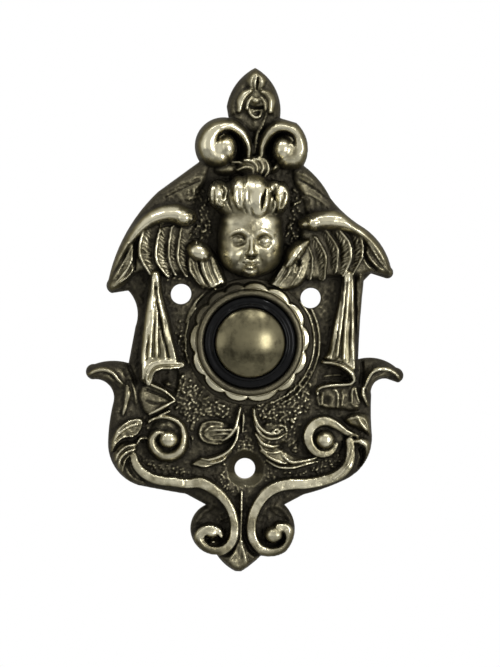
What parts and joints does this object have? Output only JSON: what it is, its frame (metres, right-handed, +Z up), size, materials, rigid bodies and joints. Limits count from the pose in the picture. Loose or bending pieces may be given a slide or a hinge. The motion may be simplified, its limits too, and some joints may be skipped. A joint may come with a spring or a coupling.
{
  "type": "doorbell",
  "caption": "Ornate cast brass bell push plate with a cherub head, wings and scrollwork round a domed push button in a black ring, screwed flat to a wall.",
  "frame": {"origin": "midpoint between the two upper fixing holes, on the plate's back, which lies on the wall", "axes": "+Z up along the plate's length, +X to the right as seen from the front, the front faces -Y and +Y points into the wall"},
  "size_m": [0.0735, 0.0202, 0.1167],
  "materials": {
    "antique_brass": "aged cast brass, dark in the recesses and rubbed bright on the relief",
    "button_brass": "polished brass, dulled by use",
    "black_moulding": "glossy black moulding",
    "plunger_moulding": "plain dark brown moulding",
    "spring_brass": "clean rolled spring brass",
    "screw_brass": "turned brass"
  },
  "bodies": {
    "plate": {"face_plate": "antique_brass", "push_bezel": "black_moulding", "contact_base": "plunger_moulding", "spring_leaf": "spring_brass", "contact_leaf": "spring_brass", "terminal_screw_left": "screw_brass", "terminal_screw_right": "screw_brass", "clamp_plate_left": "screw_brass", "clamp_plate_right": "screw_brass", "terminal_nut_left": "screw_brass", "terminal_nut_right": "screw_brass", "lock_nut": "screw_brass"},
    "button": {"button_cap": "button_brass", "button_plunger": "plunger_moulding"}
  },
  "joints": [
    {"name": "button_press", "type": "slide", "parent": "plate", "child": "button", "axis": [0, 1, 0], "range_m": [0, 0.0015], "stiffness_N_per_m": 1000, "springref_m": -0.002, "deforming": ["spring_leaf"]}
  ]
}
